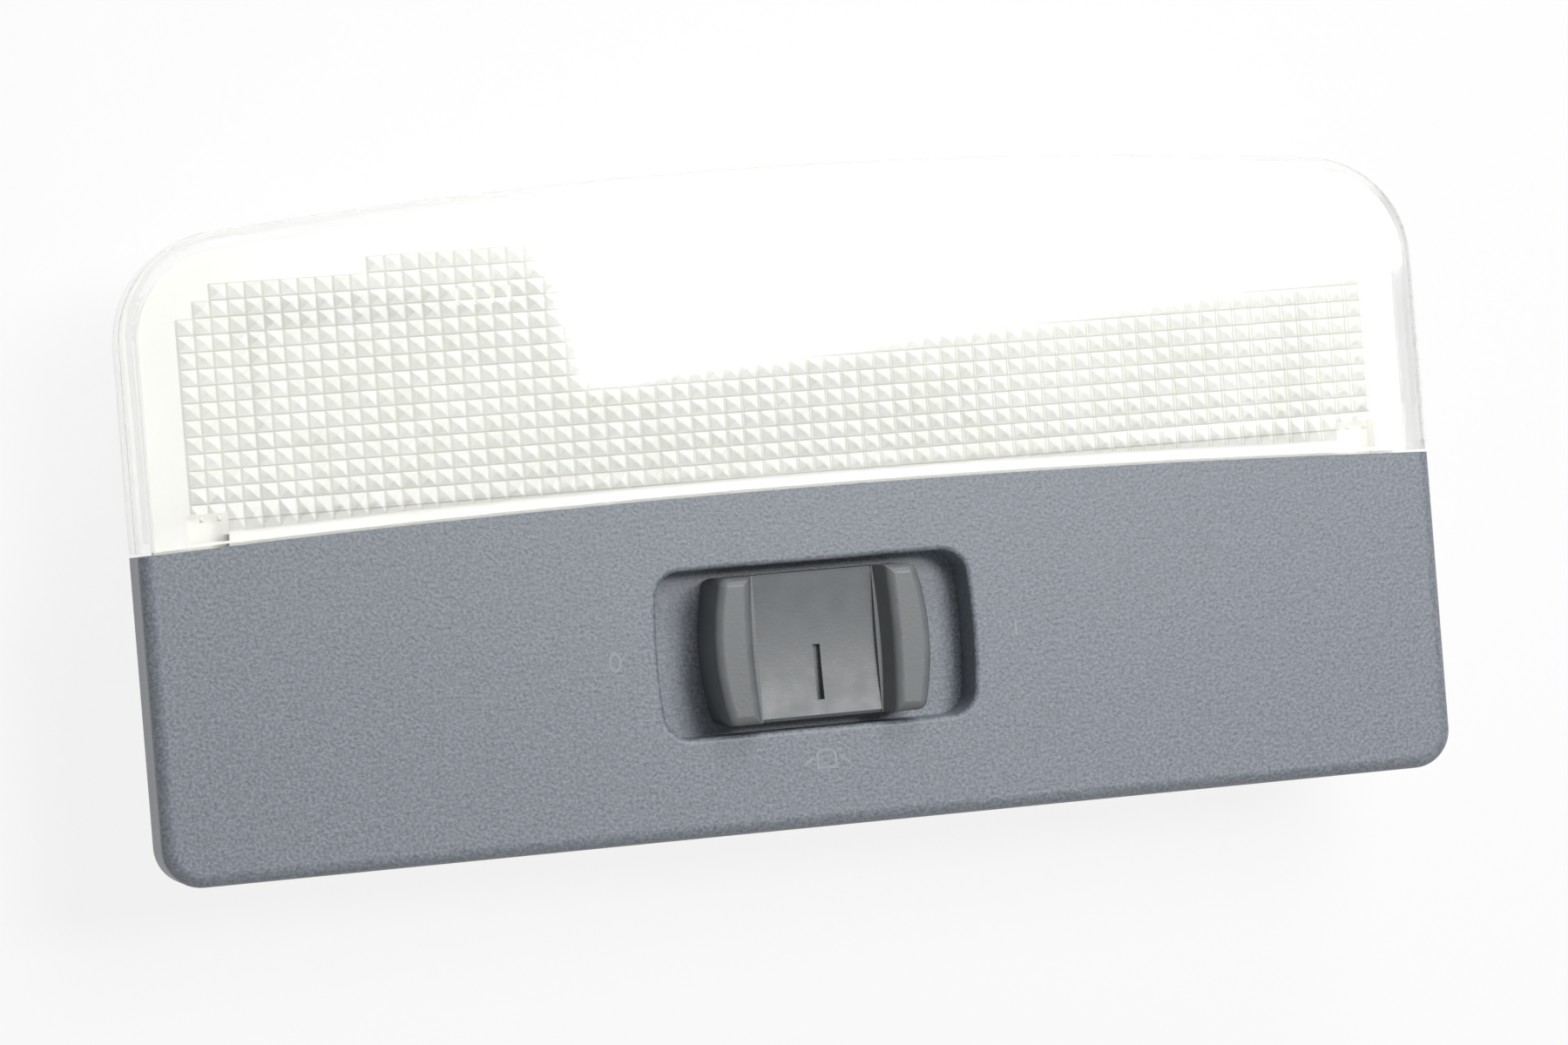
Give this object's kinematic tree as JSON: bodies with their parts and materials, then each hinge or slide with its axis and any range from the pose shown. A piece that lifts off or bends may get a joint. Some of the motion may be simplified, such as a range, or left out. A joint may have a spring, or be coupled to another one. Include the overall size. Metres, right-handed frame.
{
  "type": "car courtesy light",
  "caption": "Flat car roof courtesy light with a clear prismatic lens, a grained grey panel and a recessed slide switch, on a white tray with a plug socket.",
  "frame": {"origin": "middle of the seat plane, where the rear face of the flange meets the roof lining", "axes": "+Z out of the front face, +X along the length with the switch side nearest, +Y from the switch towards the lens"},
  "size_m": [0.13, 0.0644, 0.0317],
  "materials": {
    "lens": "clear polycarbonate, polished mould",
    "panel": "mid grey ABS, fine eroded grain",
    "housing": "white PBT, satin mould",
    "reflector": "pressed sheet, lacquered white",
    "bulb_glass": "clear drawn tube",
    "filament": "coiled tungsten wire",
    "lead_wire": "drawn nickel wire",
    "lamp_cap": "nickel plated brass",
    "contact_strip": "stamped brass strip",
    "spring_steel": "zinc plated spring steel",
    "knob": "mid grey ABS, fine satin",
    "carrier": "natural acetal",
    "wiper": "rolled phosphor bronze"
  },
  "bodies": {
    "lamp": {"lens": "lens", "switch_panel": "panel", "housing": "housing", "reflector": "reflector", "bulb_glass": "bulb_glass", "bulb_filament": "filament", "bulb_lead_left": "lead_wire", "bulb_lead_right": "lead_wire", "bulb_cap_left": "lamp_cap", "bulb_cap_right": "lamp_cap", "supply_strip": "contact_strip", "lamp_strip": "contact_strip", "door_strip": "contact_strip", "ground_strip": "contact_strip", "retaining_clip": "spring_steel"},
    "slider": {"slider_knob": "knob", "slider_carrier": "carrier", "wiper_contact": "wiper", "detent_spring": "spring_steel"}
  },
  "joints": [
    {"name": "switch_slide", "type": "slide", "parent": "lamp", "child": "slider", "axis": [1, 0, 0], "range_m": [-0.0045, 0.0045], "deforming": ["detent_spring"]}
  ]
}
